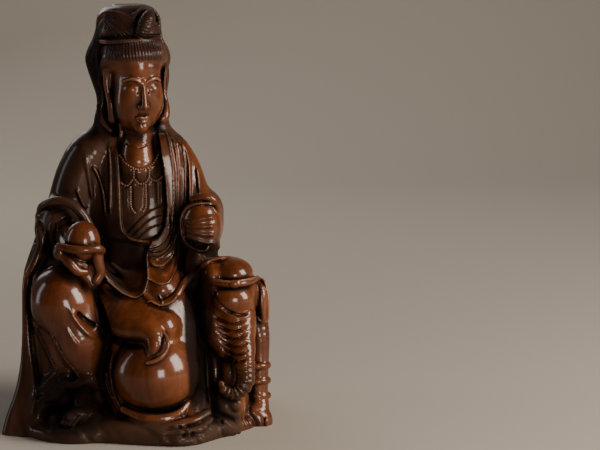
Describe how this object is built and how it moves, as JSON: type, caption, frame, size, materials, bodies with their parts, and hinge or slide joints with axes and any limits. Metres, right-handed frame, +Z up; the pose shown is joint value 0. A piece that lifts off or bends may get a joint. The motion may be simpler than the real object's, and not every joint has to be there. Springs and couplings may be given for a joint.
{
  "type": "carved guanyin figure",
  "caption": "Seated veiled bodhisattva holding a round jewel, one arm on an elephant, on a rock base, carved in one from lacquered hardwood.",
  "frame": {"origin": "middle of the bounding box at the flat underside", "axes": "+Z up along the height; +X to the left hand of the figure, where the elephant stands; the figure faces -Y"},
  "size_m": [0.2652, 0.2318, 0.4111],
  "materials": {
    "carved_wood": "dark red-brown hardwood under satin lacquer, polished on the high places and near black in the recesses"
  },
  "bodies": {
    "root": {"guanyin_figure": "carved_wood"}
  },
  "joints": []
}
